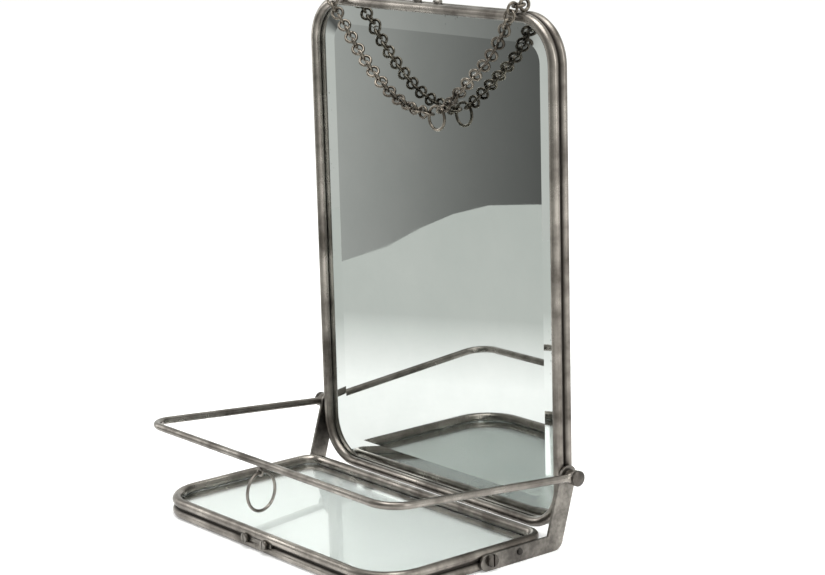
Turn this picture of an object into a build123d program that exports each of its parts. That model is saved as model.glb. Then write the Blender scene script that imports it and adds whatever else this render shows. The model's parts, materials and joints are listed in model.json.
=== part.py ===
from build123d import *
from math import asin, cos, degrees, radians, sin
import os

# Standing and hanging shaving mirror with a glass shelf, a hinged rail and a chain.
# +X runs along the mirror's width, -Y is the front (the side that is looked into), +Z is up.
# The origin is on the table surface, in the middle of the object's footprint.

# ---------------------------------------------------------------- driving sizes (mm)
mirror_half_width = 119.5
mirror_height = 321.0
mirror_below_pivot = 38.9  # from the pivot axis down to the frame's lower edge
shelf_half_width = 119.8
shelf_depth = 131.0
shelf_to_pivot = 15.6  # from the shelf's rear edge back to the pivot axis
pivot_height = 45.5

bead_radius = 3.15  # each of the frame section's two rolled beads
bead_spacing = 7.0  # between the two beads' centres
rear_bead_flat = 0.15  # polished off the rear bead, so that it sits flat
web_thickness = 2.4
web_inset = 0.25  # the web's centre lies this far inside the beads' centres
corner_radius = 31.0  # outer radius of the frames' corners
shelf_rear_radius = 14.0  # the shelf's two rear corners are bent tighter
seam_width = 0.2  # where the bent frame's two ends meet

glass_thickness = 3.0
glass_inset = 5.75  # from the frame's outer edge in to the glass edge
bevel_width = 13.0
bevel_drop = 1.5
gasket_inset = 4.75
backing_thickness = 0.7
panel_thickness = 0.4

rod_radius = 2.4
rail_reach = 145.1
rail_half_width = 126.0
rail_incline = 4.9  # degrees, the rail rises to the front
rail_corner_radius = 16.0

strip_thickness = 2.0
strip_width = 10.4
arm_height = strip_width / 2  # the bracket arm's lower edge stands on the table
riser_width = 13.0
fastener_height = 6.4
arm_end = 66.8  # centre of the arm's round end, forward of the pivot
arm_corner = 12.0  # where arm and riser meet, forward of the pivot
slotted_screw_at = 63.7
rivet_at = 41.1

stud_radius = 2.0
running_clearance = 0.05
side_gap = 0.25  # between pieces that turn against each other
hub_radius = 4.7
eye_thickness = 5.1
knob_radius = 4.9
knob_thickness = 3.2

rail_eye_mean_radius = 2.3  # small eye brazed under the rail's front bar
rail_eye_wire = 0.8
rail_eye_drop = 5.8  # from the bar's centre down to the eye's centre
rail_ring_mean_radius = 12.2
rail_ring_wire = 1.0
rail_ring_twist = 10.7  # degrees that the hanging ring is turned about the vertical

link_mean_radius = 3.6
link_wire = 0.95
link_roll = 45.0
eyelet_at = 88.0
eyelet_mean_radius = 3.4
eyelet_wire = 1.1
hanging_ring_mean_radius = 7.5
hanging_ring_wire = 1.0

mirror_seam_x = -3.0
shelf_seam_x = -6.0
joint_screw_spacing = 20.0

# ---------------------------------------------------------------- derived places
frame_depth = 2 * bead_radius + bead_spacing - rear_bead_flat
shelf_mid = frame_depth - bead_radius - bead_spacing / 2  # height of the shelf's glass plane
rail_rise = radians(rail_incline)
twist = radians(rail_ring_twist)
front_reach = rail_reach * cos(rail_rise) + rail_ring_mean_radius * cos(twist) + rail_ring_wire
back_reach = bead_radius + bead_spacing / 2 - rear_bead_flat
pivot_y = (front_reach - back_reach) / 2
shelf_back = pivot_y - shelf_to_pivot
shelf_centre = shelf_back - shelf_depth / 2
mirror_bottom = pivot_height - mirror_below_pivot
mirror_top = mirror_bottom + mirror_height
mirror_centre = (mirror_bottom + mirror_top) / 2
bar_y = pivot_y - rail_reach * cos(rail_rise)
bar_z = pivot_height + rail_reach * sin(rail_rise)

# Local planes of the two frames: x across, y up or back, z out of the glass on the used side.
shelf_plane = Plane((0, shelf_centre, shelf_mid), x_dir=(1, 0, 0), z_dir=(0, 0, 1))
mirror_plane = Plane((0, pivot_y, mirror_centre), x_dir=(1, 0, 0), z_dir=(0, -1, 0))
rail_plane = Plane((0, pivot_y, pivot_height), x_dir=(1, 0, 0), z_dir=(0, -sin(rail_rise), -cos(rail_rise)))


def save(part, label):
    """Name a finished piece and write it to its own STEP file."""
    part.label = label
    export_step(part, f"parts/{label}.step")


def rounded_loop(half_width, half_height, near_radius, far_radius):
    """Lines and arcs of a rounded rectangle, starting in the middle of its near (lower) side."""
    run = Line((0, -half_height), (half_width - near_radius, -half_height))
    rise = 2 * half_height - near_radius - far_radius
    far_run = 2 * (half_width - far_radius)
    near_run = half_width - near_radius
    for radius, length in ((near_radius, rise), (far_radius, far_run), (far_radius, rise), (near_radius, near_run)):
        corner = JernArc(run @ 1, run % 1, radius, 90)
        run = Line(corner @ 1, corner @ 1 + (corner % 1) * length)


def beaded_frame(plane, half_width, half_height, far_radius, seam_x, seam_side):
    """The double-bead section swept round a rounded rectangle, with a butt seam in one side."""
    with BuildPart() as frame:
        with BuildLine(plane) as route:
            rounded_loop(
                half_width - bead_radius,
                half_height - bead_radius,
                corner_radius - bead_radius,
                far_radius - bead_radius,
            )
        start = plane.from_local_coords((0, bead_radius - half_height, 0))
        with BuildSketch(Plane(start, x_dir=plane.z_dir, z_dir=plane.x_dir)):
            with Locations((bead_spacing / 2, 0), (-bead_spacing / 2, 0)):
                Circle(bead_radius)
            with Locations((0, -web_inset)):
                Rectangle(bead_spacing, web_thickness)
            with Locations((-bead_spacing / 2 - bead_radius, 0)):
                Rectangle(2 * rear_bead_flat, 2 * bead_radius, mode=Mode.SUBTRACT)
        sweep(path=route.wire())
        seam_y = seam_side * (half_height - bead_radius)
        with Locations(plane * Location((seam_x, seam_y, 0))):
            Box(seam_width, 3 * bead_radius, 2 * frame_depth, mode=Mode.SUBTRACT)
    return frame.part


def pane_outline(half_width, half_height, inset, far_radius=corner_radius, mode=Mode.ADD):
    """A rounded rectangle that lies the given distance inside a frame's outer edge."""
    with BuildLine() as outline:
        rounded_loop(half_width - inset, half_height - inset, corner_radius - inset, far_radius - inset)
    make_face(outline.edges(), mode=mode)


def groove_strip(plane, half_width, half_height, far_radius):
    """Thin strip between the glass edge and the frame's web, all the way round."""
    with BuildPart() as strip:
        with BuildSketch(plane.offset(-0.5)):
            pane_outline(half_width, half_height, gasket_inset, far_radius)
            pane_outline(half_width, half_height, glass_inset, far_radius, Mode.SUBTRACT)
        extrude(amount=1.0)
    return strip.part


def joint_plate(plane, seam_x, edge_y, outward):
    """Tapered key that lies in the frame's outer groove across the seam."""
    side = Plane(plane.from_local_coords((seam_x, edge_y, 0)), x_dir=plane.x_dir, z_dir=plane.y_dir * outward)
    with BuildPart() as key:
        with BuildSketch(side.offset(-2.1)):
            Rectangle(joint_screw_spacing + 12, 0.8)
        with BuildSketch(side.offset(-0.65)):
            Rectangle(joint_screw_spacing + 12, 2.6)
        loft()
        with Locations(side):
            with GridLocations(joint_screw_spacing, 0, 2, 1):
                Hole(1.2)
    return key.part


def joint_screws(plane, seam_x, edge_y, outward):
    """Two cheese-head screws through the key, with slots across their heads."""
    side = Plane(plane.from_local_coords((seam_x, edge_y, 0)), x_dir=plane.x_dir, z_dir=plane.y_dir * outward)
    with BuildPart() as screws:
        with Locations(side):
            with GridLocations(joint_screw_spacing, 0, 2, 1):
                with Locations((0, 0, 1.1)):
                    Cylinder(3.0, 2.0)
                with Locations((0, 0, -2.25)):
                    Cylinder(1.2, 4.7)
        heads = screws.faces().filter_by(lambda face: abs(face.normal_at().dot(side.z_dir)) > 0.99)
        chamfer(heads.sort_by(Axis(side.origin, side.z_dir))[-2:].edges(), 0.4)
        with Locations(side):
            with GridLocations(joint_screw_spacing, 0, 2, 1):
                with Locations((0, 0, 2.2)):
                    Box(0.8, 6.4, 1.8, mode=Mode.SUBTRACT)
    return screws.part


os.makedirs("parts", exist_ok=True)
shelf_half_depth = shelf_depth / 2
mirror_half_height = mirror_height / 2

# ---------------------------------------------------------------- shelf: frame, glass, joint
shelf_frame = beaded_frame(shelf_plane, shelf_half_width, shelf_half_depth, shelf_rear_radius, shelf_seam_x, -1)

# The seam's key is screwed through the web with two holes on the frame's front side.
shelf_front = Plane((shelf_seam_x, shelf_back - shelf_depth, shelf_mid), x_dir=(1, 0, 0), z_dir=(0, -1, 0))
with BuildPart() as shelf_frame_drilled:
    add(shelf_frame)
    with Locations(shelf_front):
        with GridLocations(joint_screw_spacing, 0, 2, 1):
            with Locations((0, 0, -3.5)):
                Cylinder(1.2, 7.0, mode=Mode.SUBTRACT)
    # Screw and rivet holes for the brackets, through both side webs.
    for side in (-1, 1):
        for hole_at, hole_radius in ((slotted_screw_at, 1.6), (rivet_at, 1.2)):
            with Locations(Location((side * shelf_half_width, pivot_y - hole_at, fastener_height), (0, 90, 0))):
                Cylinder(hole_radius, 14.0, mode=Mode.SUBTRACT)
save(shelf_frame_drilled.part, "shelf_frame")

with BuildPart() as shelf_glass:
    with BuildSketch(shelf_plane.offset(-glass_thickness / 2)):
        pane_outline(shelf_half_width, shelf_half_depth, glass_inset, shelf_rear_radius)
    extrude(amount=glass_thickness)
    chamfer(shelf_glass.faces().sort_by(Axis.Z)[-1].edges(), 0.4)
    chamfer(shelf_glass.faces().sort_by(Axis.Z)[0].edges(), 0.4)
save(shelf_glass.part, "shelf_glass")

save(groove_strip(shelf_plane, shelf_half_width, shelf_half_depth, shelf_rear_radius), "shelf_gasket")
save(joint_plate(shelf_plane, shelf_seam_x, -shelf_half_depth, -1), "shelf_joint_key")
save(joint_screws(shelf_plane, shelf_seam_x, -shelf_half_depth, -1), "shelf_joint_screws")

# ---------------------------------------------------------------- side brackets


def bracket(side):
    """L-shaped strip: an arm along the shelf's side and a riser that leans back to the pivot."""
    pivot = (pivot_y, pivot_height)
    arm = ((pivot_y - arm_end, arm_height), (pivot_y - arm_corner, arm_height), strip_width)
    riser = ((pivot_y - arm_corner, riser_width / 2), pivot, riser_width)
    outer_face = Plane((side * (shelf_half_width + strip_thickness / 2), 0, 0), x_dir=(0, 1, 0), z_dir=(1, 0, 0))
    with BuildPart() as strip:
        with BuildSketch(outer_face):
            for start, end, width in (arm, riser):
                with BuildLine():
                    Line(start, end)
                    offset(amount=width / 2, side=Side.BOTH)
                make_face()
        extrude(amount=strip_thickness / 2, both=True)
        rims = strip.faces().filter_by(Axis.X).edges()
        chamfer(rims, 0.3)
        with Locations(outer_face):
            with Locations(pivot):
                Hole(stud_radius + running_clearance)
            with Locations((pivot_y - slotted_screw_at, fastener_height)):
                Hole(1.6)
            with Locations((pivot_y - rivet_at, fastener_height)):
                Hole(1.2)
    return strip.part


save(bracket(-1), "bracket_left")
save(bracket(1), "bracket_right")

with BuildPart() as bracket_screws:
    for side in (-1, 1):
        head_face = Plane(
            (side * (shelf_half_width + strip_thickness), pivot_y - slotted_screw_at, fastener_height),
            x_dir=(0, 1, 0),
            z_dir=(side, 0, 0),
        )
        with BuildSketch(head_face):
            Circle(4.0)
        extrude(amount=2.6)
        outer_rim = bracket_screws.faces().sort_by(Axis.X)[0 if side < 0 else -1].edges()
        chamfer(outer_rim, 0.5)
        with BuildSketch(head_face):
            Circle(1.6)
        extrude(amount=-(strip_thickness + 4.6))
        with Locations(head_face.offset(2.3)):
            Box(1.1, 9.0, 1.8, mode=Mode.SUBTRACT)
save(bracket_screws.part, "bracket_screws")

with BuildPart() as bracket_rivets:
    for side in (-1, 1):
        head_face = Plane(
            (side * (shelf_half_width + strip_thickness), pivot_y - rivet_at, fastener_height),
            x_dir=(0, 1, 0),
            z_dir=(side, 0, 0),
        )
        with BuildSketch(head_face):
            Circle(2.1)
        extrude(amount=1.2)
        dome_rim = bracket_rivets.faces().sort_by(Axis.X)[0 if side < 0 else -1].edges()
        fillet(dome_rim, 0.9)
        with BuildSketch(head_face):
            Circle(1.2)
        extrude(amount=-(strip_thickness + 4.6))
save(bracket_rivets.part, "bracket_rivets")

# ---------------------------------------------------------------- mirror: frame, glass, back
mirror_frame = beaded_frame(mirror_plane, mirror_half_width, mirror_half_height, corner_radius, mirror_seam_x, 1)
top_face = Plane((mirror_seam_x, pivot_y, mirror_top), x_dir=(1, 0, 0), z_dir=(0, 0, 1))
with BuildPart() as mirror_frame_drilled:
    add(mirror_frame)
    with Locations(top_face):
        with GridLocations(joint_screw_spacing, 0, 2, 1):
            with Locations((0, 0, -3.5)):
                Cylinder(1.2, 7.0, mode=Mode.SUBTRACT)
    # Eyelet shanks in the top side, pivot studs in the two long sides.
    for side in (-1, 1):
        with Locations((side * eyelet_at, pivot_y, mirror_top - 3.5)):
            Cylinder(eyelet_wire, 7.0, mode=Mode.SUBTRACT)
        with Locations(Location((side * mirror_half_width, pivot_y, pivot_height), (0, 90, 0))):
            Cylinder(stud_radius, 14.0, mode=Mode.SUBTRACT)
save(mirror_frame_drilled.part, "mirror_frame")

# Silvered glass with a wide bevel ground on its face.
bevel_start = glass_thickness / 2 - bevel_drop
with BuildPart() as mirror_glass:
    with BuildSketch(mirror_plane.offset(-glass_thickness / 2)):
        pane_outline(mirror_half_width, mirror_half_height, glass_inset)
    extrude(amount=glass_thickness - bevel_drop)
    with BuildSketch(mirror_plane.offset(bevel_start)):
        pane_outline(mirror_half_width, mirror_half_height, glass_inset)
    with BuildSketch(mirror_plane.offset(glass_thickness / 2)):
        pane_outline(mirror_half_width, mirror_half_height, glass_inset + bevel_width)
    loft()
save(mirror_glass.part, "mirror_glass")

save(groove_strip(mirror_plane, mirror_half_width, mirror_half_height, corner_radius), "mirror_gasket")
save(joint_plate(mirror_plane, mirror_seam_x, mirror_half_height, 1), "mirror_joint_key")
save(joint_screws(mirror_plane, mirror_seam_x, mirror_half_height, 1), "mirror_joint_screws")

back_inset = 2 * bead_radius + 0.2
backing_level = -glass_thickness / 2 - backing_thickness
with BuildPart() as backing_card:
    with BuildSketch(mirror_plane.offset(backing_level)):
        pane_outline(mirror_half_width, mirror_half_height, back_inset)
    extrude(amount=backing_thickness)
save(backing_card.part, "backing_card")

panel_level = backing_level - panel_thickness
with BuildPart() as back_panel:
    with BuildSketch(mirror_plane.offset(panel_level)):
        pane_outline(mirror_half_width, mirror_half_height, back_inset)
    extrude(amount=panel_thickness)
save(back_panel.part, "back_panel")

# Small folded tabs, fixed inside the rear bead, hold the panel in.
tab_places = [(side * (mirror_half_width - 11.0), level) for side in (-1, 1) for level in (-95, 0, 95)]
tab_places += [(across, side * (mirror_half_height - 11.0)) for side in (-1, 1) for across in (-50, 50)]
with BuildPart() as panel_tabs:
    with BuildSketch(mirror_plane.offset(panel_level)):
        for across, level in tab_places[:6]:
            with Locations((across, level)):
                RectangleRounded(9.4, 8.0, 1.5)
        for across, level in tab_places[6:]:
            with Locations((across, level)):
                RectangleRounded(8.0, 9.4, 1.5)
    extrude(amount=-0.8)
save(panel_tabs.part, "panel_tabs")

# ---------------------------------------------------------------- pivots
bracket_outer = shelf_half_width + strip_thickness
spacer_inner = bracket_outer + side_gap
eye_inner = rail_half_width - eye_thickness / 2
eye_outer = rail_half_width + eye_thickness / 2
knob_inner = eye_outer + side_gap
knob_outer = knob_inner + knob_thickness
stud_inner = mirror_half_width - bead_radius - web_inset - web_thickness / 2
stud_outer = knob_outer - 1.3


def across_plane(distance):
    """Plane square to the pivot axis, at a signed distance from the middle of the mirror."""
    return Plane((distance, pivot_y, pivot_height), x_dir=(0, 1, 0), z_dir=(1 if distance > 0 else -1, 0, 0))


with BuildPart() as pivot_studs:
    for side in (-1, 1):
        with BuildSketch(across_plane(side * stud_inner)):
            Circle(stud_radius)
        extrude(amount=stud_outer - stud_inner)
save(pivot_studs.part, "pivot_studs")


dome_base = knob_radius - 0.4
dome_height = 0.9
dome_radius = (dome_base**2 + dome_height**2) / (2 * dome_height)


def knob(side):
    """Round clamping nut with a domed end and a blind hole for the stud."""
    profile_plane = Plane((0, pivot_y, pivot_height), x_dir=(side, 0, 0), z_dir=(0, side, 0))
    with BuildPart() as nut:
        with BuildSketch(profile_plane):
            with BuildLine():
                rim = (knob_outer - dome_height, dome_base)
                CenterArc((knob_outer - dome_radius, 0), dome_radius, 0, degrees(asin(dome_base / dome_radius)))
                Polyline(rim, (knob_outer - dome_height, knob_radius), (knob_inner, knob_radius))
                Polyline((knob_inner, knob_radius), (knob_inner, 0), (knob_outer, 0))
            make_face()
        revolve(axis=Axis((0, pivot_y, pivot_height), (1, 0, 0)))
        with BuildSketch(across_plane(side * knob_inner)):
            Circle(stud_radius + running_clearance)
        extrude(amount=stud_outer - knob_inner + 0.3, mode=Mode.SUBTRACT)
    return nut.part


save(knob(-1), "knob_left")
save(knob(1), "knob_right")

# ---------------------------------------------------------------- rail
with BuildPart() as rail_rod:
    with BuildLine(rail_plane) as rail_route:
        left_arm = Line((-rail_half_width, hub_radius - 1.6), (-rail_half_width, rail_reach - rail_corner_radius))
        left_bend = JernArc(left_arm @ 1, left_arm % 1, rail_corner_radius, -90)
        front_bar = Line(left_bend @ 1, (rail_half_width - rail_corner_radius, rail_reach))
        right_bend = JernArc(front_bar @ 1, front_bar % 1, rail_corner_radius, -90)
        Line(right_bend @ 1, (rail_half_width, hub_radius - 1.6))
    with BuildSketch(Plane(rail_route.wire() @ 0, z_dir=rail_route.wire() % 0)):
        Circle(rod_radius)
    sweep(path=rail_route.wire())
    for side in (-1, 1):
        with BuildSketch(across_plane(side * eye_inner)):
            Circle(hub_radius)
        extrude(amount=eye_thickness)
        with BuildSketch(across_plane(side * (eye_inner - 1))):
            Circle(stud_radius + running_clearance)
        extrude(amount=eye_thickness + 2, mode=Mode.SUBTRACT)
    # The small eye that the loose ring hangs in, on a short neck under the middle of the front bar.
    neck_end = rail_eye_drop - rail_eye_mean_radius + 0.4
    with Locations((0, bar_y, bar_z - neck_end)):
        Cylinder(0.7, neck_end - 1, align=(Align.CENTER, Align.CENTER, Align.MIN))
    with Locations(Location((0, bar_y, bar_z - rail_eye_drop), (90, 0, 0))):
        Torus(rail_eye_mean_radius, rail_eye_wire)
save(rail_rod.part, "rail_rod")

with BuildPart() as rail_spacers:
    for side in (-1, 1):
        with BuildSketch(across_plane(side * spacer_inner)):
            Circle(hub_radius - 0.3)
            Circle(stud_radius + running_clearance, mode=Mode.SUBTRACT)
        extrude(amount=eye_inner - spacer_inner)
save(rail_spacers.part, "rail_spacers")


def ring(centre, axis, mean_radius, wire):
    """A closed round ring of round wire."""
    return Plane(centre, z_dir=axis) * Torus(mean_radius, wire)


# The rail's loose ring hangs in the small eye, 0.3 mm clear of it.
ring_top = bar_z - rail_eye_drop - (rail_eye_mean_radius - rail_eye_wire - rail_ring_wire - 0.3)
rail_ring = ring(
    (0, bar_y, ring_top - rail_ring_mean_radius), (cos(twist), sin(twist), 0), rail_ring_mean_radius, rail_ring_wire
)
save(rail_ring, "rail_ring")

# ---------------------------------------------------------------- chain
eye_z = mirror_top + eyelet_mean_radius + 0.6
with BuildPart() as chain_eyelets:
    for side in (-1, 1):
        with Locations((side * eyelet_at, pivot_y, mirror_top - 2.1)):
            Cylinder(eyelet_wire, 4.6)
        with Locations(Location((side * eyelet_at, pivot_y, eye_z), (0, 90, 0))):
            Torus(eyelet_mean_radius, eyelet_wire)
save(chain_eyelets.part, "chain_eyelets")

# The ring that the two strands meet in hangs in front of the glass.
chain_depth = 11.2  # forward of the mirror's middle plane, clear of the front bead
hanging_x = 16.9
hanging_drop = 69.9  # below the frame's top
last_link = 8.6  # from the hanging ring's centre to the last link's centre
left_meets = radians(165)
right_meets = radians(45)
hanging_centre = Vector(hanging_x, pivot_y - chain_depth, mirror_top - hanging_drop)
hanging_ring = ring(hanging_centre, (0, -1, 0), hanging_ring_mean_radius, hanging_ring_wire)
save(hanging_ring, "hanging_ring")


def strand(side, hanging_points, meets, link_count):
    """Round links along a curve: over the front bead, down the glass and into the hanging ring.

    The hanging points are (x, below the frame's top). Each link is turned a quarter turn from
    the one before it; the first lies flat in its eyelet and the last stands across the ring."""
    start = Vector(side * eyelet_at, pivot_y - 4.6, eye_z)
    points = [start, Vector(side * (eyelet_at - 0.5), pivot_y - 9.4, mirror_top + 2.0)]
    points += [Vector(x, pivot_y - chain_depth, mirror_top - drop) for x, drop in hanging_points]
    inward = Vector(cos(meets), 0, sin(meets))
    points += [hanging_centre + inward * last_link]
    route = Edge.make_spline(points)
    spacing = route.length / (link_count - 1)
    places = [route.position_at(index * spacing, position_mode=PositionMode.LENGTH) for index in range(link_count)]
    chords = zip([Vector(start.X, pivot_y, start.Z)] + places[:-1], places[1:] + [hanging_centre])
    last_turn = link_roll if link_count % 2 == 0 else -link_roll
    sideways = Vector(-1, 0, 0)
    links = []
    for index, (before, after) in enumerate(chords):
        along = (after - before).normalized()
        sideways = (sideways - along * sideways.dot(along)).normalized()
        outward = sideways.cross(along)
        turn = link_roll if index % 2 else -link_roll
        turn += link_roll * max(0, 1 - index / 6)
        turn += last_turn * max(0, 1 - (link_count - 1 - index) / 6)
        axis = outward * cos(radians(turn)) + sideways * sin(radians(turn))
        links.append(ring(places[index], axis, link_mean_radius, link_wire))
    print(f"strand of {link_count} links, {spacing:.2f} mm apart")
    return Compound(children=links)


left_points = [(-86.2, 3.5), (-82.0, 10), (-73.3, 19.5), (-58, 35.5), (-42, 49), (-25, 59.8), (-8, 65.6)]
right_points = [(86.6, 3.0), (83.6, 8.6), (79.2, 15), (68, 28.7), (49.4, 44), (35, 55.4)]
save(strand(-1, left_points, left_meets, 27), "chain_left")
save(strand(1, right_points, right_meets, 21), "chain_right")

print(f"pivot axis y {pivot_y:.3f} z {pivot_height:.3f}, mirror top {mirror_top:.2f}")
print(f"rail bar y {bar_y:.3f} z {bar_z:.3f}, eyelet z {eye_z:.3f}")
print(f"chain ring centre {hanging_centre}")
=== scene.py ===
# %% [markdown]
# # A shaving mirror with a glass shelf, a rail and a chain
# The mirror stands on a small glass shelf, and both are framed in the same rolled metal
# section: two round beads with a groove between them. A thin rail swings over the shelf,
# a loose ring hangs under it, and a chain for hanging the mirror up lies over the glass.
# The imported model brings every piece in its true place. This notebook gives the pieces
# that catch the eye a finer surface, and gives each piece its finish.

import json
from math import cos, pi, radians, sin

import bpy
import numpy as np
from mathutils import Matrix, Vector


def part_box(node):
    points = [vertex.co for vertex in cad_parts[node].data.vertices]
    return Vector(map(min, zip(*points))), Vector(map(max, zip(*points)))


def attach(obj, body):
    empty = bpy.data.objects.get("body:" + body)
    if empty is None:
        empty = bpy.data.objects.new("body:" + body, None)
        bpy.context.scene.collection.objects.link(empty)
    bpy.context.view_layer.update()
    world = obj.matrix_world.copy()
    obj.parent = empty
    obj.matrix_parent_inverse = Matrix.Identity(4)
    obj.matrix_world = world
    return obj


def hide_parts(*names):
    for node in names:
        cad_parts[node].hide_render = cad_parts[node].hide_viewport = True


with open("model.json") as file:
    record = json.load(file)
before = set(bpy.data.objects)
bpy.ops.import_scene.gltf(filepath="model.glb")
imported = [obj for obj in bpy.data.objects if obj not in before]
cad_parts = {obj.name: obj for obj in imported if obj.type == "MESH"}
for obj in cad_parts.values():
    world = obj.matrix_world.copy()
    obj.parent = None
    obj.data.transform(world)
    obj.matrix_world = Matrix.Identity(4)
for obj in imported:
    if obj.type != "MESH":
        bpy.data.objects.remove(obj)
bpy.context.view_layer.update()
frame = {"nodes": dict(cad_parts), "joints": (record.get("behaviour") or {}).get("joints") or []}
nodes = frame["nodes"]
MM = 0.001
joints = {joint["name"]: joint for joint in frame["joints"]}

# %% [markdown]
# ## Two helpers for surfaces
# Nearly every piece here is a bar bent along a line, or a turned part. Both are a grid of
# points: one direction runs along the bar or round the axis, the other follows the profile.
# One helper turns such a grid into a mesh with a UV map in millimetres, so that a finish
# can follow the bar as a polishing wheel does.

# %% Grid to mesh


def grid_mesh(name, points, along, around, closed_along, creases=(), caps=False):
    """A mesh from an array of points [i, j]. Faces join neighbours; j always wraps round, i
    only where closed_along. along[i] and around[j] are the millimetres of the UV map. Lines of
    constant j named in creases stay sharp. Caps close the two ends with one face each.
    A face's outside is where (step in j) x (step in i) points."""
    rows, columns = points.shape[:2]
    i, j = np.meshgrid(np.arange(rows - (not closed_along)), np.arange(columns), indexing="ij")
    i, j = i.ravel(), j.ravel()
    next_i, next_j = (i + 1) % rows, (j + 1) % columns
    quads = np.stack(
        [i * columns + j, i * columns + next_j, next_i * columns + next_j, next_i * columns + j], axis=1
    )
    faces = quads.tolist()
    if caps:
        first = list(range(columns))
        faces += [first[::-1], [(rows - 1) * columns + k for k in first]]
    mesh = bpy.data.meshes.new(name)
    mesh.from_pydata(points.reshape(-1, 3), [], faces)
    u = np.stack([along[i], along[i], along[i + 1], along[i + 1]], axis=1)
    v = np.stack([around[j], around[j + 1], around[j + 1], around[j]], axis=1)
    uv = np.zeros((len(mesh.loops), 2))
    uv[: 4 * len(quads)] = np.stack([u, v], axis=2).reshape(-1, 2)
    mesh.uv_layers.new(name="millimetres").data.foreach_set("uv", uv.ravel())
    smooth = np.arange(len(faces)) < len(quads)
    mesh.polygons.foreach_set("use_smooth", smooth)
    ends = np.zeros(2 * len(mesh.edges), int)
    mesh.edges.foreach_get("vertices", ends)
    a, b = ends.reshape(-1, 2).T
    same_line = (a % columns == b % columns) & np.isin(a % columns, creases)
    sharp = mesh.attributes.new("sharp_edge", "BOOLEAN", "EDGE")
    sharp.data.foreach_set("value", same_line)
    piece = bpy.data.objects.new(name, mesh)
    bpy.context.scene.collection.objects.link(piece)
    print(name, len(faces), "faces")
    return piece


def carry(name, centres, normals, profile, closed, creases=(), swell=1.0):
    """A profile carried along a line: point = centre + swell * (x * normal + y * side), with
    side = direction of travel x normal. The profile runs anticlockwise for someone who sees
    the line coming. Closed lines wrap round; open ones get an end face each."""
    if closed:
        travel = np.roll(centres, -1, axis=0) - np.roll(centres, 1, axis=0)
    else:
        travel = np.gradient(centres, axis=0)
    travel /= np.linalg.norm(travel, axis=1)[:, None]
    sides = np.cross(travel, normals)
    swell = np.broadcast_to(swell, len(centres))[:, None, None]
    points = centres[:, None] + swell * (
        profile[None, :, :1] * normals[:, None] + profile[None, :, 1:] * sides[:, None]
    )
    steps = np.linalg.norm(np.roll(centres, -1, axis=0) - centres, axis=1)
    along = np.concatenate([[0], np.cumsum(steps)]) / MM
    edges = np.linalg.norm(np.roll(profile, -1, axis=0) - profile, axis=1)
    around = np.concatenate([[0], np.cumsum(edges)]) / MM
    return grid_mesh(name, points, along, around, closed, creases, caps=not closed)


def finish_piece(piece, body, slot, material, *replaced):
    """Rides a finished piece on its body, hides the plain pieces it stands for and paints it."""
    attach(piece, body)
    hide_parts(*replaced)
    piece.data.materials.clear()
    piece.data.materials.append(material)
    print(piece.name, "rides on", body)


# %% [markdown]
# ## Aged nickel
# The frames, rods and brackets are plated steel that has gone brown and dark with age. The
# plating was polished along the bar, so it has fine lines along it. Shade is painted into the
# groove: there the colour is darkened almost to black and the gloss dulled, while the crowns of
# the beads keep the plain colour. The lines come from noise stretched along the UV map, the cloudy
# tarnish from noise in object space, and the painted groove shade from an attribute that is 1 deep in the
# groove and 0 on the crowns.

# %% Material helpers


def new_material(name):
    """An empty node material with a Principled shader, and short functions to add to it."""
    material = bpy.data.materials.new(name)
    material.use_nodes = True
    tree = material.node_tree
    shader = tree.nodes["Principled BSDF"]

    def node(kind, **inputs):
        made = tree.nodes.new(kind)
        for key, value in inputs.items():
            if key in made.bl_rna.properties:
                setattr(made, key, value)
            else:
                socket = made.inputs[key.replace("_", " ")]
                if isinstance(value, bpy.types.NodeSocket):
                    tree.links.new(value, socket)
                else:
                    socket.default_value = value
        return made

    return material, tree, shader, node


def stretched(node, source, scale):
    """Coordinates from a source socket, scaled differently along each axis."""
    mapping = node("ShaderNodeMapping")
    mapping.inputs["Scale"].default_value = scale
    mapping.id_data.links.new(source, mapping.inputs["Vector"])
    return mapping.outputs["Vector"]


def ramp(node, source, stops):
    """A colour ramp through (position, colour) stops; a single number means a grey."""
    made = node("ShaderNodeValToRGB", Fac=source)
    elements = made.color_ramp.elements
    for index, (position, colour) in enumerate(stops):
        element = elements[index] if index < 2 else elements.new(position)
        element.position = position
        element.color = (*colour, 1) if isinstance(colour, tuple) else (colour, colour, colour, 1)
    return made.outputs["Color"]


def mix(node, kind, factor, a, b):
    """Two colours blended in the given way."""
    made = node("ShaderNodeMix", data_type="RGBA", blend_type=kind)
    for socket, value in ((made.inputs[0], factor), (made.inputs[6], a), (made.inputs[7], b)):
        if isinstance(value, bpy.types.NodeSocket):
            made.id_data.links.new(value, socket)
        elif isinstance(value, tuple):
            socket.default_value = (*value, 1)
        else:
            socket.default_value = value
    return made.outputs[2]


def rescale(node, source, low, high, at_low, at_high):
    """A number carried over from low..high to at_low..at_high and held at both ends."""
    made = node("ShaderNodeMapRange", Value=source)
    for socket, value in enumerate((low, high, at_low, at_high), start=1):
        made.inputs[socket].default_value = value
    return made.outputs["Result"]


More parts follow.
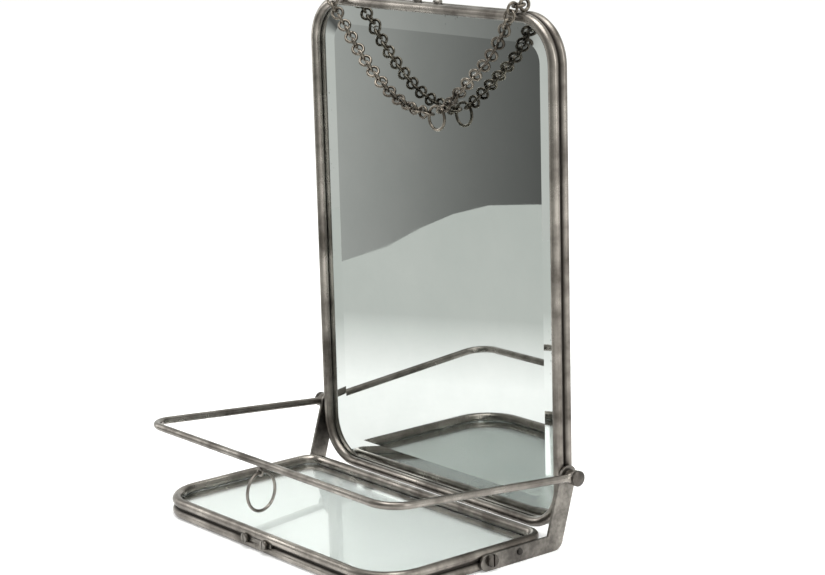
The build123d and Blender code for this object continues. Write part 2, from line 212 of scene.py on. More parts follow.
def aged_metal(name, light, dark, streaks, roughness, groove):
    """Plated metal with cloudy tarnish, fine lines and, if asked, painted shade in the groove. With streaks
    the lines run along the bar by its UV map; without, they are a fine grain in object space."""
    material, tree, shader, node = new_material(name)
    place = node("ShaderNodeTexCoord").outputs["Object"]
    clouds = node("ShaderNodeTexNoise", Vector=place, Scale=38.0, Detail=5.0, Roughness=0.6)
    blotches = node("ShaderNodeTexNoise", Vector=place, Scale=9.0, Detail=2.0)
    tarnish = ramp(node, clouds.outputs["Fac"], [(0.36, dark), (0.66, light)])
    wide = ramp(node, blotches.outputs["Fac"], [(0.3, 0.62), (0.7, 1.0)])
    colour = mix(node, "MULTIPLY", 0.85, tarnish, wide)
    if streaks:
        uv = node("ShaderNodeUVMap", uv_map="millimetres").outputs["UV"]
        lines = node(
            "ShaderNodeTexNoise", Vector=stretched(node, uv, (0.018, 1.6, 1)), Scale=1.0, Detail=4.0
        ).outputs["Fac"]
    else:
        lines = node("ShaderNodeTexNoise", Vector=place, Scale=420.0, Detail=3.0).outputs["Fac"]
    line_tone = ramp(node, lines, [(0.32, 0.55), (0.6, 1.0)])
    colour = mix(node, "MULTIPLY", 0.6, colour, line_tone)
    rough = ramp(node, clouds.outputs["Fac"], [(0.3, roughness + 0.16), (0.7, roughness - 0.06)])
    # Painted shade: deep in the groove the colour is darkened towards near black and the gloss dulled.
    if groove:
        depth = node("ShaderNodeAttribute", attribute_name="groove").outputs["Fac"]
        colour = mix(node, "MIX", depth, colour, tuple(0.35 * c for c in dark))
        rough = mix(node, "MIX", depth, rough, (0.6, 0.6, 0.6))
    tree.links.new(colour, shader.inputs["Base Color"])
    tree.links.new(rough, shader.inputs["Roughness"])
    shader.inputs["Metallic"].default_value = 1.0
    bump = node("ShaderNodeBump", Height=lines, Strength=0.05, Distance=0.0001)
    tree.links.new(bump.outputs["Normal"], shader.inputs["Normal"])
    return material


nickel = aged_metal("aged_nickel", (0.42, 0.385, 0.345), (0.13, 0.115, 0.10), True, 0.27, True)
rod_nickel = aged_metal("aged_nickel_rod", (0.40, 0.37, 0.335), (0.12, 0.105, 0.09), True, 0.27, False)
plain_nickel = aged_metal("aged_nickel_plate", (0.36, 0.335, 0.30), (0.12, 0.11, 0.10), False, 0.3, False)
dark_nickel = aged_metal("dark_nickel", (0.20, 0.18, 0.16), (0.06, 0.055, 0.05), False, 0.32, False)
chain_metal = aged_metal("chain_wire", (0.30, 0.265, 0.22), (0.07, 0.06, 0.05), False, 0.33, False)

# %% [markdown]
# ## The two frames
# Each frame is one length of the double-bead section, bent round four corners and butted
# together; the seam is a hairline gap. The profile is worked out once: two circles joined by
# a flat web near the line of their middles, which leaves a groove on the outside and one for
# the glass on the inside. The shelf's two rear corners are bent tighter than all the others.

# %% The double-bead profile
bead = 3.15
spacing = 7.0
web_half = 1.2
web_inset = 0.25
rear_flat = 0.15
frame_corner = 31.0
shelf_rear_corner = 14.0
seam_gap = 0.2
mirror_seam = 3.0
shelf_seam = -6.0
glass_inset = 5.75  # from the outside of a frame to the edge of its glass


def beaded_profile():
    """Outline of two beads and a web, anticlockwise, in millimetres, and how deep in the
    groove each point lies. x is along the depth, front bead at +x; y points outwards.

    A bead's circle is x = +-spacing/2 + r cos a, y = r sin a; it is left where the web's
    faces y = -inset +- half begin, which is at sin a = (half +- inset) / r."""
    outer_start = np.arcsin((web_half - web_inset) / bead)
    inner_start = np.arcsin((web_half + web_inset) / bead)
    sweep = np.linspace(-pi + inner_start, pi - outer_start, 44)
    front = np.stack([spacing / 2 + bead * np.cos(sweep), bead * np.sin(sweep)], axis=1)
    rear = np.stack([-front[::-1, 0], front[::-1, 1]], axis=1)
    rear[:, 0] = np.maximum(rear[:, 0], -spacing / 2 - bead + rear_flat)
    outer_web = np.stack([np.linspace(front[-1, 0], rear[0, 0], 5)[1:-1], np.full(3, front[-1, 1])], axis=1)
    inner_web = np.stack([np.linspace(rear[-1, 0], front[0, 0], 5)[1:-1], np.full(3, front[0, 1])], axis=1)
    outline = np.concatenate([front, outer_web, rear, inner_web])
    # How deep in the groove a point lies; this weights the painted shade in the groove.
    into_groove = np.clip((2.6 - np.abs(outline[:, 0])) / 2.0, 0, 1)
    return outline * MM, into_groove**1.5


profile, painted_groove_shade = beaded_profile()
profile_creases = [0, 43, 47, 90]
print("profile with", len(profile), "points")

# %% A rounded rectangle to carry it along


def rounded_route(half_width, half_height, near, far, start, gap):
    """Points of a rounded rectangle from just after the seam round to just before it. The seam
    is in the near side, at a distance start from its middle. Only the corner arcs need many
    points: corner centre + corner * (cos a, sin a), each over a quarter turn. The two corners
    of the near side have one radius, the two far ones another."""
    quarter = np.arange(4)[:, None]
    corner = np.array([near, far, far, near])[:, None]
    angle = np.linspace(0, pi / 2, 24)[None, :] - pi / 2 + quarter * pi / 2
    centre_x = (half_width - corner) * np.array([1, 1, -1, -1])[:, None]
    centre_y = (half_height - corner) * np.array([-1, 1, 1, -1])[:, None]
    corners = np.stack([centre_x + corner * np.cos(angle), centre_y + corner * np.sin(angle)], axis=2)
    first = [[start + gap / 2, -half_height]]
    last = [[start - gap / 2, -half_height]]
    return np.concatenate([first, corners.reshape(-1, 2), last])


def beaded_frame(name, origin, across, up, half_width, half_height, near, far, start):
    """One frame: the double-bead profile along a rounded rectangle in the plane of across and
    up, with its front bead towards across x up, and both ends closed at the seam."""
    route = rounded_route(half_width - bead, half_height - bead, near - bead, far - bead, start, seam_gap)
    centres = origin + MM * (route[:, :1] * across + route[:, 1:] * up)
    forward = np.tile(np.cross(across, up), (len(centres), 1))

    piece = carry(name, centres, forward, profile, False, profile_creases)
    # The groove attribute carries the weight of the painted shade in the groove.
    attribute = piece.data.attributes.new("groove", "FLOAT", "POINT")
    attribute.data.foreach_set("value", np.tile(painted_groove_shade, len(centres)).astype(np.float32))
    return piece


# %% Both frames
low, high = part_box("mirror_frame")
x_axis, y_axis, z_axis = np.eye(3)
pivot = np.array(joints["mirror_tilt"]["pos_m"])
mirror_half = (high.x - low.x) / 2 / MM, (high.z - low.z) / 2 / MM
mirror_middle = np.array([0, pivot[1], (high.z + low.z) / 2])
# The seam is in the top side, so the route starts there: both directions in the plane are turned.
mirror_frame = beaded_frame(
    "mirror_frame_fine", mirror_middle, -x_axis, -z_axis, *mirror_half,
    frame_corner, frame_corner, mirror_seam,
)
finish_piece(mirror_frame, "mirror", "nickel", nickel, "mirror_frame")

low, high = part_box("shelf_frame")
shelf_half = (high.x - low.x) / 2 / MM, (high.y - low.y) / 2 / MM
shelf_middle = np.array([0, (high.y + low.y) / 2, high.z - (bead + spacing / 2) * MM])
shelf_frame = beaded_frame(
    "shelf_frame_fine", shelf_middle, x_axis, y_axis, *shelf_half,
    frame_corner, shelf_rear_corner, shelf_seam,
)
finish_piece(shelf_frame, "shelf", "nickel", nickel, "shelf_frame")
print("mirror", mirror_half, "shelf", shelf_half)

# %% [markdown]
# ## The rail
# One thin rod runs from the left pivot, round two bends, back to the right pivot. Each end
# is brazed to a short barrel that turns on the stud, and the rod swells a little where the
# braze runs out onto it. The barrel is a turned ring: a closed profile spun about the pivot.
# Under the middle of the front bar a small eye of wire on a short neck holds the loose ring.

# %% Rod with brazed ends
rod_radius = 2.4
rail_half = 126.0
rail_reach = 145.1
rail_bend = 16.0
incline = radians(4.9)
arm_start = 3.2  # inside the barrel's wall
braze_rise = 0.45
braze_length = 2.1
turn = np.linspace(0, 2 * pi, 32, endpoint=False)
circle = np.stack([np.cos(turn), np.sin(turn)], axis=1)


def rail_route():
    """Centre line in the rail's plane, (across, forward) in millimetres: a straight arm, a
    quarter arc, the front bar, a quarter arc and the other arm. The arms begin inside the
    barrels, and the first few points are close together so that the braze can swell there."""
    forward = np.array([arm_start, 4.3, 5.0, 5.8, 6.8, 8.2, 10.0, 30.0])
    arm = np.stack([np.full(8, -rail_half), forward], axis=1)
    angle = pi - np.linspace(0, pi / 2, 20)
    middle = np.array([rail_bend - rail_half, rail_reach - rail_bend])
    bend = middle + rail_bend * np.stack([np.cos(angle), np.sin(angle)], axis=1)
    left = np.concatenate([arm, bend])
    return np.concatenate([left, left[::-1] * [-1, 1]])


route = rail_route()
rail_forward = np.array([0, -cos(incline), sin(incline)])
rail_normal = np.array([0, sin(incline), cos(incline)])
rail_line = pivot + MM * (route[:, :1] * x_axis + route[:, 1:] * rail_forward)
from_end = route[:, 1]
braze = 1 + braze_rise * np.exp(-((np.maximum(from_end - arm_start, 0) / braze_length) ** 2))
rod = carry(
    "rail_rod_fine",
    rail_line,
    np.tile(rail_normal, (len(route), 1)),
    circle * rod_radius * MM,
    False,
    swell=braze,
)

# %% [markdown]
# ## Helpers for turned parts and bent wire
# The nuts, barrels and washers are turned on a lathe, so each is a short profile spun round
# an axis. Rings and chain links are round wire bent to a circle and butted; up close the
# hairline slit says so, and every ring has one.

# %% Turned pieces


def turned(name, origin, axis, profile, closed):
    """A profile spun about an axis: point = origin + along * axis + radius * (cos t, sin t).
    The profile lists (along, radius) in millimetres. A closed one makes a ring; an open one
    starts and ends at a small flat. It runs so that along grows on the outer wall."""
    spin = np.linspace(0, 2 * pi, 48, endpoint=False)
    axis = np.array(axis, float)
    across = np.cross(axis, y_axis if abs(axis[1]) < 0.9 else x_axis)
    across /= np.linalg.norm(across)
    upright = np.cross(axis, across)
    direction = np.cos(spin)[:, None] * across + np.sin(spin)[:, None] * upright
    profile = np.array(profile, float) * MM
    points = origin + profile[:, None, :1] * axis + profile[:, None, 1:] * direction[None]
    lengths = np.linalg.norm(np.roll(profile, -1, axis=0) - profile, axis=1)
    along = np.concatenate([[0], np.cumsum(lengths)]) / MM
    around = np.linspace(0, 2 * pi * profile[:, 1].max() / MM, len(spin) + 1)
    piece = grid_mesh(name, points, along, around, closed, caps=not closed)
    piece.data.set_sharp_from_angle(angle=radians(40))
    return piece


def ring_profile(inner_x, outer_x, bore, radius, corner):
    """Section of a short tube with broken outer corners and a plain bore."""
    return [
        (inner_x, bore),
        (inner_x, radius - corner),
        (inner_x + 0.3 * corner, radius - 0.3 * corner),
        (inner_x + corner, radius),
        (outer_x - corner, radius),
        (outer_x - 0.3 * corner, radius - 0.3 * corner),
        (outer_x, radius - corner),
        (outer_x, bore),
    ]


# %% Rings of bent wire


def wire_ring(name, centre, axis, mean_radius, wire, start, steps, sides, slit):
    """A circle of round wire with a narrow slit where its ends meet: centre + R (cos t u +
    sin t v), for t from start + slit/2R to start + full turn - slit/2R."""
    axis = np.array(axis, float) / np.linalg.norm(axis)
    u = np.cross(axis, z_axis if abs(axis[2]) < 0.9 else x_axis)
    u /= np.linalg.norm(u)
    v = np.cross(axis, u)
    half = slit / 2 / mean_radius
    t = start + np.linspace(half, 2 * pi - half, steps)
    line = np.array(centre) + mean_radius * MM * (np.cos(t)[:, None] * u + np.sin(t)[:, None] * v)
    spin = np.linspace(0, 2 * pi, sides, endpoint=False)
    section = wire * MM * np.stack([np.cos(spin), np.sin(spin)], axis=1)
    return carry(name, line, np.tile(axis, (steps, 1)), section, False)


# %% Several meshes as one piece


def join(name, pieces):
    """Several meshes as one piece."""
    bpy.ops.object.select_all(action="DESELECT")
    for piece in pieces:
        piece.select_set(True)
    bpy.context.view_layer.objects.active = pieces[0]
    bpy.ops.object.join()
    pieces[0].name = name
    return pieces[0]


# %% Barrels, eye and washers
bore = 2.05
barrel_half = 2.55
barrel_radius = 4.7
washer_inside = 122.05
washer_radius = 4.4
eye_drop = 5.8
eye_radius = 2.3
eye_wire = 0.8
barrel_profile = ring_profile(rail_half - barrel_half, rail_half + barrel_half, bore, barrel_radius, 0.45)
barrels = [
    turned("barrel", pivot, side * x_axis, barrel_profile, True)
    for side in (-1, 1)
]
rail_middle = pivot + MM * rail_reach * rail_forward
eye_middle = rail_middle - eye_drop * MM * z_axis
eye = wire_ring(
    "eye", eye_middle, y_axis, eye_radius, eye_wire, start=1.5, steps=40, sides=14, slit=0.05
)
neck = turned("neck", rail_middle, -z_axis, [(1.0, 1.3), (2.4, 1.2), (2.8, 0.8), (3.9, 0.7)], False)
rail = join("rail_rod_fine", [rod, eye, neck] + barrels)
finish_piece(rail, "rail", "nickel", rod_nickel, "rail_rod")

washer_profile = ring_profile(washer_inside, rail_half - barrel_half, bore, washer_radius, 0.3)
washers = [
    turned("washer", pivot, side * x_axis, washer_profile, True)
    for side in (-1, 1)
]
washers = join("rail_spacers_fine", washers)
finish_piece(washers, "rail", "dark_nickel", dark_nickel, "rail_spacers")

# %% [markdown]
# ## The nuts on the pivots
# A small domed nut holds each side together. It is a turned piece too: a face, a wall with
# one fine groove for the fingers, a rounded rim and a shallow dome.

# %% Domed nuts
nut_inside = rail_half + barrel_half + 0.25
nut_length = 3.2
nut_radius = 4.9
dome_height = 0.9


def nut_profile(inner, outer, radius):
    """Half section from the bore's mouth over the wall and the dome to the middle. The dome
    is a parabola: radius falls from the rim as the square root of the way to the top."""
    share = np.linspace(1, 0.02, 12)
    dome = np.stack([outer - dome_height * share**2, (radius - 0.4) * share], axis=1)
    wall = [
        (inner, 0.1),
        (inner, radius - 0.3),
        (inner + 0.3, radius),
        (inner + 0.8, radius),
        (inner + 0.95, radius - 0.25),
        (inner + 1.25, radius - 0.25),
        (inner + 1.4, radius),
        (outer - 1.2, radius),
    ]
    return np.concatenate([wall, dome])


for side, body, node_name in ((-1, "nut_left", "knob_left"), (1, "nut_right", "knob_right")):
    nut_section = nut_profile(nut_inside, nut_inside + nut_length, nut_radius)
    nut = turned(node_name + "_fine", pivot, side * x_axis, nut_section, False)
    finish_piece(nut, body, "dark_nickel", dark_nickel, node_name)

# %% [markdown]
# ## Rings and chain
# The rail's loose ring, the hanging ring and all links are bent wire. The places of the links
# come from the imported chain: each link there is a separate lump of points, whose middle is
# its centre and whose thinnest direction is its axis. Every slit is at a place of its own.

# %% Loose ring, hanging ring and links


def lumps(node, count):
    """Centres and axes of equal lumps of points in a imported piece."""
    flat = np.zeros(3 * len(nodes[node].data.vertices))
    nodes[node].data.vertices.foreach_get("co", flat)
    sets = flat.reshape(count, -1, 3)
    middle = (sets.max(axis=1) + sets.min(axis=1)) / 2
    spread = sets - sets.mean(axis=1, keepdims=True)
    return middle, np.linalg.svd(spread, full_matrices=False)[2][:, 2]


ring_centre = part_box("rail_ring")
ring_middle = np.array((ring_centre[0] + ring_centre[1]) / 2)
ring_radius = 12.2
ring_wire = 1.0
ring_turn = radians(10.7)
ring_axis = (cos(ring_turn), sin(ring_turn), 0)
big_ring = wire_ring(
    "rail_ring_fine", ring_middle, ring_axis, ring_radius, ring_wire,
    start=2.2, steps=96, sides=20, slit=0.15,
)
finish_piece(big_ring, "loose_ring", "nickel", rod_nickel, "rail_ring")

hook_radius = 7.5
hook_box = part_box("hanging_ring")
hook_middle = np.array((hook_box[0] + hook_box[1]) / 2)
hook_ring = wire_ring(
    "hanging_ring_fine", hook_middle, -y_axis, hook_radius, ring_wire,
    start=1.2, steps=72, sides=16, slit=0.12,
)
finish_piece(hook_ring, "chain_ring", "chain_metal", chain_metal, "hanging_ring")

link_radius = 3.6
link_wire = 0.95
generator = np.random.default_rng(7)
for node_name, count in (("chain_left", 27), ("chain_right", 21)):
    middles, axes = lumps(node_name, count)
    starts = generator.uniform(0, 2 * pi, count)
    links = [
        wire_ring(
            f"link_{node_name}_{k}", middles[k], axes[k], link_radius, link_wire,
            start=starts[k], steps=30, sides=10, slit=0.12,
        )
        for k in range(count)
    ]
    strand = join(node_name + "_fine", links)
    finish_piece(strand, "chain", "chain_metal", chain_metal, node_name)

# %% [markdown]
# ## The mirror glass
# The silver lies behind three millimetres of glass, but to the eye it lies nearer, because
# glass bends the light. So the mirror is one polished surface at the depth where the
# reflection seems to be. The wide bevel round it is a thin wedge of glass, which bends light
# towards the middle of the mirror, as a polished rim would that rises to the edge; so the
# surface rises there. Age shows as a faint veil in the gloss and as dark specks that creep
# in from the edge.

# %% Plates with rounded corners


def plate(name, origin, across, up, half_width, half_height, near, far, rings):
    """A plate made of rounded rectangles. Each (inset, level) in rings, from the back round to
    the front, gives one: it lies inset inside the edge and level in front of the middle. The
    corner arcs shrink with the inset, so that all their centres stay in one place. The two
    corners of the near side have one radius, the two far ones another."""
    quarter = np.arange(4)[:, None]
    angle = np.linspace(0, pi / 2, 24)[None, :] + quarter * pi / 2
    unit = np.stack([np.cos(angle), np.sin(angle)], axis=2).reshape(-1, 2)
    corner = (np.array([far, far, near, near])[:, None] + 0 * angle).ravel()
    corner_x = (half_width - corner) * np.repeat([1, -1, -1, 1], 24)
    corner_y = (half_height - corner) * np.repeat([1, 1, -1, -1], 24)
    arms = np.stack([corner_x, corner_y], axis=1)
    inset, level = np.array(rings, float).T
    flat = arms[None] + (corner[None] - inset[:, None])[:, :, None] * unit[None]
    forward = np.cross(across, up)
    points = np.array(origin) + MM * (
        flat[..., :1] * across + flat[..., 1:] * up + level[:, None, None] * forward
    )
    along = np.concatenate([inset, inset[-1:]])
    around = np.linspace(0, 4 * (half_width + half_height), points.shape[1] + 1)
    piece = grid_mesh(name, points, along, around, False, caps=True)
    piece.data.set_sharp_from_angle(angle=radians(1.5))
    depth = piece.data.attributes.new("from_edge", "FLOAT", "POINT")
    depth.data.foreach_set("value", np.repeat(inset, points.shape[1]).astype(np.float32))
    return piece


glass_low, glass_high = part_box("mirror_glass")
glass_half = (glass_high.x - glass_low.x) / 2 / MM, (glass_high.z - glass_low.z) / 2 / MM
glass_corner = frame_corner - glass_inset
bevel_width = 13.0
bevel_rise = 1.1
mirror_rings = [(0.4, -1.5), (0, -1.1), (0, bevel_rise - 0.15), (0.15, bevel_rise), (bevel_width, 0.0)]
mirror_plate = plate(
    "mirror_glass_fine", mirror_middle, x_axis, z_axis, *glass_half,
    glass_corner, glass_corner, mirror_rings,
)

# %% Silvered glass


def silvered():
    """A mirror with a faint cool tint, a thin veil and dark specks near the edge."""
    speck_reach = 9.0  # millimetres from the edge
    material, tree, shader, node = new_material("silvered_glass")
    place = node("ShaderNodeTexCoord").outputs["Object"]
    veil = node("ShaderNodeTexNoise", Vector=place, Scale=14.0, Detail=6.0, Roughness=0.7).outputs["Fac"]
    specks = node("ShaderNodeTexVoronoi", Vector=place, Scale=260.0).outputs["Distance"]
    grouped = node("ShaderNodeTexNoise", Vector=place, Scale=30.0, Detail=3.0).outputs["Fac"]
    edge = node("ShaderNodeAttribute", attribute_name="from_edge").outputs["Fac"]
    near = rescale(node, edge, 0.0, speck_reach, 1.0, 0.0)
    speck_mask = ramp(node, specks, [(0.10, 1.0), (0.22, 0.0)])
    group_mask = ramp(node, grouped, [(0.52, 0.0), (0.62, 1.0)])
    mask = mix(node, "MULTIPLY", 1.0, speck_mask, group_mask)
    mask = mix(node, "MULTIPLY", 1.0, mask, near)
    tint = ramp(node, veil, [(0.35, (0.53, 0.555, 0.54)), (0.7, (0.57, 0.59, 0.575))])
    tree.links.new(mix(node, "MIX", mask, tint, (0.05, 0.045, 0.04)), shader.inputs["Base Color"])
    gloss = ramp(node, veil, [(0.45, 0.012), (0.75, 0.045)])
    tree.links.new(mix(node, "MIX", mask, gloss, (0.5, 0.5, 0.5)), shader.inputs["Roughness"])
    shader.inputs["Metallic"].default_value = 1.0
    return material


finish_piece(mirror_plate, "mirror", "mirror", silvered(), "mirror_glass")

# %% [markdown]
# ## The shelf glass
# Plate glass is clear in the middle and green at its edge, where one looks along it. Its
# upper face carries the fine marks of things put down on it, which show only in the gloss.

# %% Clear plate


def plate_glass():
    """Clear glass with a faint green tint and worn gloss."""
    material, tree, shader, node = new_material("plate_glass")
    place = node("ShaderNodeTexCoord").outputs["Object"]
    marks = node("ShaderNodeTexNoise", Vector=stretched(node, place, (60, 300, 60)), Scale=1.0, Detail=5.0)
    haze = node("ShaderNodeTexNoise", Vector=place, Scale=18.0, Detail=5.0).outputs["Fac"]
    both = mix(node, "MULTIPLY", 0.6, haze, marks.outputs["Fac"])
    tree.links.new(ramp(node, both, [(0.2, 0.0), (0.5, 0.06)]), shader.inputs["Roughness"])
    tint = ramp(node, haze, [(0.3, (0.86, 0.905, 0.88)), (0.7, (0.89, 0.93, 0.91))])
    tree.links.new(tint, shader.inputs["Base Color"])
    shader.inputs["Transmission Weight"].default_value = 1.0
    shader.inputs["IOR"].default_value = 1.5
    return material


shelf_low, shelf_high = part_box("shelf_glass")
shelf_glass_half = (shelf_high.x - shelf_low.x) / 2 / MM, (shelf_high.y - shelf_low.y) / 2 / MM
shelf_rings = [(0.5, -1.5), (0.12, -1.35), (0, -1.05), (0, 1.05), (0.12, 1.35), (0.5, 1.5)]
rear_corner = shelf_rear_corner - glass_inset
shelf_plate = plate(
    "shelf_glass_fine", shelf_middle, x_axis, y_axis, *shelf_glass_half,
    glass_corner, rear_corner, shelf_rings,
)
finish_piece(shelf_plate, "shelf", "clear_glass", plate_glass(), "shelf_glass")

# %% [markdown]
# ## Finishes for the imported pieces
# Brackets, screws, rivets, studs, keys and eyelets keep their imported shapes, which have
# their chamfers and slots. Each gets the finish that its metal has, from object space.

# %% Paint the hardware


def paint(material, *names):
    """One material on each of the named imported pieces."""
    for name in names:
        nodes[name].data.materials.clear()
        nodes[name].data.materials.append(material)
    print(material.name, "on", ", ".join(names))


paint(plain_nickel, "bracket_left", "bracket_right", "mirror_joint_key", "shelf_joint_key")
paint(plain_nickel, "mirror_joint_screws", "shelf_joint_screws")
paint(dark_nickel, "bracket_screws", "bracket_rivets", "pivot_studs")
paint(chain_metal, "chain_eyelets")

# %% [markdown]
# ## The closed back
# A thin sheet, enamelled black and rubbed where it has lain on walls, closes the back. Small
# folded tabs hold it. Behind it lies brown card, and a dark strip beds each glass.

# %% Back, card and strips


def enamel():
    """Thin black enamel with brush marks, dust in its gloss and brown rubbed spots."""
    material, tree, shader, node = new_material("black_enamel")
    place = node("ShaderNodeTexCoord").outputs["Object"]
    brushed = node("ShaderNodeTexNoise", Vector=stretched(node, place, (260, 50, 9)), Scale=1.0, Detail=4.0)
    dust = node("ShaderNodeTexNoise", Vector=place, Scale=30.0, Detail=6.0, Roughness=0.65)
    worn = node("ShaderNodeTexNoise", Vector=place, Scale=60.0, Detail=8.0, Roughness=0.7).outputs["Fac"]
    base = ramp(node, dust.outputs["Fac"], [(0.35, (0.028, 0.026, 0.025)), (0.7, (0.075, 0.07, 0.064))])
    rubbed = ramp(node, worn, [(0.66, 0.0), (0.72, 1.0)])
    tree.links.new(mix(node, "MIX", rubbed, base, (0.16, 0.10, 0.06)), shader.inputs["Base Color"])
    tree.links.new(ramp(node, dust.outputs["Fac"], [(0.3, 0.34), (0.7, 0.6)]), shader.inputs["Roughness"])
    bump = node("ShaderNodeBump", Height=brushed.outputs["Fac"], Strength=0.25, Distance=0.0002)
    tree.links.new(bump.outputs["Normal"], shader.inputs["Normal"])
    return material


def fibrous(name, light, dark, roughness):
    """Matt material with fine fibres: card or bedding strip."""
    material, tree, shader, node = new_material(name)
    place = node("ShaderNodeTexCoord").outputs["Object"]
    fibre = node("ShaderNodeTexNoise", Vector=stretched(node, place, (400, 400, 90)), Scale=1.0, Detail=6.0)
    tree.links.new(ramp(node, fibre.outputs["Fac"], [(0.3, dark), (0.7, light)]), shader.inputs["Base Color"])
    shader.inputs["Roughness"].default_value = roughness
    bump = node("ShaderNodeBump", Height=fibre.outputs["Fac"], Strength=0.3, Distance=0.0002)
    tree.links.new(bump.outputs["Normal"], shader.inputs["Normal"])
    return material


paint(enamel(), "back_panel", "panel_tabs")
paint(fibrous("brown_card", (0.36, 0.27, 0.18), (0.22, 0.16, 0.10), 0.9), "backing_card")
strip = fibrous("bedding_strip", (0.035, 0.033, 0.03), (0.015, 0.014, 0.013), 0.8)
paint(strip, "mirror_gasket", "shelf_gasket")

# %% [markdown]
# ## Floor, light and camera
# A mirror shows the room, so the room is part of the picture. The floor is a pale sheet that
# ends in a curve on the side the mirror looks at, and past it the studio is dim and greyish
# green. On the other side everything is bright, as before a white backdrop. The world does
# this with its own direction, so nothing has to stand around the object.

# %% Pale floor


def floor_sheet():
    """A large flat sheet of pale paper with one curved edge, which shows in the mirror. It lies
    in shade on that side; round and behind the object it is lit up like a backdrop. The change
    is gradual, by how far a point lies along the direction that leads away from the shade."""
    away_from_shade = (0.565, 1.0, 0.0)
    shaded_below = -0.50
    lit_above = -0.25
    curve = [(-0.70, -0.22), (-0.66, -0.34), (-0.69, -0.43), (-0.74, -0.515)]
    curve += [(-0.775, -0.59), (-0.785, -0.65), (-0.75, -0.69), (-0.66, -0.74)]
    wide = [(-0.2, -1.1), (0.6, -2.2), (3.0, -2.2), (3.0, 6.0), (-6.0, 6.0), (-6.0, 0.6), (-1.2, 0.05)]
    outline = np.array(curve + wide)
    points = np.concatenate([outline, np.full((len(outline), 1), -0.0002)], axis=1)
    mesh = bpy.data.meshes.new("floor")
    mesh.from_pydata(points, [], [list(range(len(points)))])
    sheet = bpy.data.objects.new("floor", mesh)
    bpy.context.scene.collection.objects.link(sheet)
    material, tree, shader, node = new_material("pale_paper")
    place = node("ShaderNodeTexCoord").outputs["Object"]
    tooth = node("ShaderNodeTexNoise", Vector=place, Scale=90.0, Detail=5.0).outputs["Fac"]
    distance = node("ShaderNodeVectorMath", operation="DOT_PRODUCT")
    tree.links.new(place, distance.inputs[0])
    distance.inputs[1].default_value = away_from_shade
    paper = ramp(node, tooth, [(0.3, 0.86), (0.7, 0.88)])
    lit = rescale(node, distance.outputs["Value"], shaded_below, lit_above, 0.0, 1.0)
    tree.links.new(mix(node, "MIX", lit, (0.50, 0.515, 0.50), paper), shader.inputs["Base Color"])
    tree.links.new(mix(node, "MIX", lit, (0, 0, 0), (0.28, 0.28, 0.28)), shader.inputs["Emission Color"])
    shader.inputs["Emission Strength"].default_value = 1.0
    shader.inputs["Roughness"].default_value = 0.85
    mesh.materials.append(material)
    print("floor with", len(points), "corners")


floor_sheet()

# %% Studio light


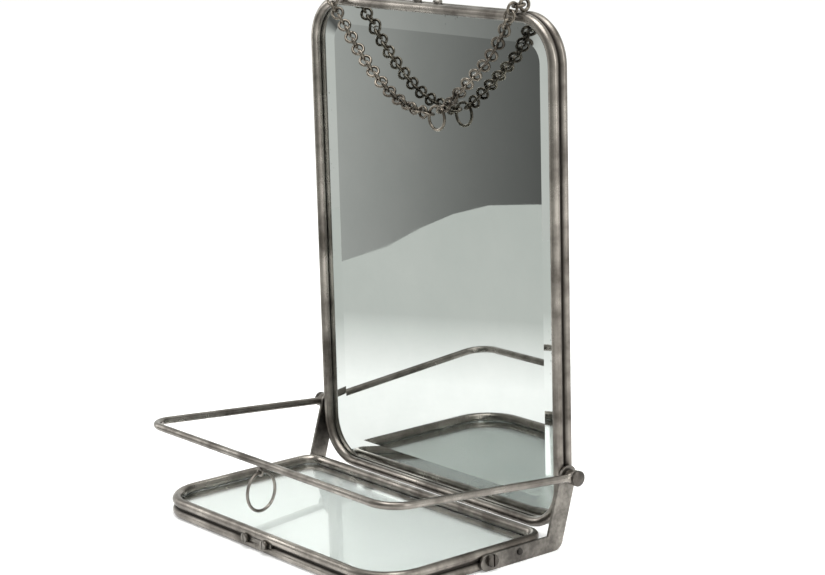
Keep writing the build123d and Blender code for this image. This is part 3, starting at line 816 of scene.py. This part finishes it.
def studio_world():
    """Background by direction. The turn round the vertical, in degrees from the left side by way
    of the front, picks a tone: white backdrop behind, pale panels beside a dim room in front."""
    world = bpy.data.worlds.new("studio")
    bpy.context.scene.world = world
    world.use_nodes = True
    tree = world.node_tree
    background = tree.nodes["Background"]
    direction = tree.nodes.new("ShaderNodeTexCoord").outputs["Generated"]
    split = tree.nodes.new("ShaderNodeSeparateXYZ")
    tree.links.new(direction, split.inputs[0])

    def calculate(operation, a, b):
        made = tree.nodes.new("ShaderNodeMath")
        made.operation = operation
        for socket, value in zip(made.inputs, (a, b)):
            if isinstance(value, bpy.types.NodeSocket):
                tree.links.new(value, socket)
            else:
                socket.default_value = value
        return made.outputs[0]

    left = calculate("MULTIPLY", split.outputs["X"], -1.0)
    front = calculate("MULTIPLY", split.outputs["Y"], -1.0)
    turned_by = calculate("ARCTAN2", front, left)
    share = calculate("ADD", calculate("DIVIDE", turned_by, 2 * pi), 0.25)
    share = calculate("FRACT", share, 0.0)
    shade = tree.nodes.new("ShaderNodeValToRGB")
    tree.links.new(share, shade.inputs["Fac"])
    tones = [
        (-88, 1.05), (-10, 1.05), (10, 0.9), (33, 0.87), (35.5, 0.74), (37.2, 0.57), (39.3, 0.35),
        (41.0, 0.21), (42.8, 0.13), (44.5, 0.15), (46, 0.85), (50, 0.85), (60, 0.40), (110, 0.30), (150, 1.0),
    ]
    stops = shade.color_ramp.elements
    for index, (degrees_round, tone) in enumerate(tones):
        position = degrees_round / 360 + 0.25
        stop = stops[index] if index < 2 else stops.new(position)
        stop.position = position
        stop.color = (0.985 * tone, tone, 0.965 * tone, 1)
    tree.links.new(shade.outputs["Color"], background.inputs["Color"])
    background.inputs["Strength"].default_value = 1.0


def softbox(name, place, target, width, height, power):
    """A large area light that faces its target."""
    data = bpy.data.lights.new(name, "AREA")
    data.shape = "RECTANGLE"
    data.size, data.size_y, data.energy = width, height, power
    lamp = bpy.data.objects.new(name, data)
    lamp.location = place
    lamp.rotation_euler = (Vector(target) - Vector(place)).to_track_quat("-Z", "Y").to_euler()
    bpy.context.scene.collection.objects.link(lamp)
    print(name, power, "W")


studio_world()
softbox("key", (0.2, -0.2, 1.7), (0, 0, 0.1), 1.2, 1.2, 24)
softbox("right_strip", (1.5, 0.5, 0.7), (0, 0.07, 0.15), 0.5, 1.2, 7)
softbox("left_strip", (-1.4, -0.6, 0.6), (0, 0.07, 0.15), 0.5, 1.0, 5)

# %% [markdown]
# ## The camera
# It stands to the right in front of the mirror, a little above it, with a long lens. Its
# three angles are a turn about the vertical, a tilt down and a slight roll.

# %% Place the camera
yaw, tilt, roll = radians(51.048), radians(12.48), radians(-1.545)
back = Vector((sin(yaw) * cos(tilt), -cos(yaw) * cos(tilt), sin(tilt)))
level = Vector((cos(yaw), sin(yaw), 0))
above = back.cross(level)
right = level * cos(roll) + above * sin(roll)
top = above * cos(roll) - level * sin(roll)
data = bpy.data.cameras.new("camera")
lens_to_width = 2322.05 / 825
data.sensor_width = 36
data.lens = data.sensor_width * lens_to_width
data.clip_start = 0.01
camera = bpy.data.objects.new("camera", data)
place = Vector((1.12425, pivot[1] - 0.92947, 0.46815))
camera.matrix_world = Matrix.Translation(place) @ Matrix((right, top, back)).transposed().to_4x4()
bpy.context.scene.collection.objects.link(camera)
bpy.context.scene.camera = camera
bpy.context.scene.view_settings.view_transform = "Standard"
print("camera", [round(v, 3) for v in place])
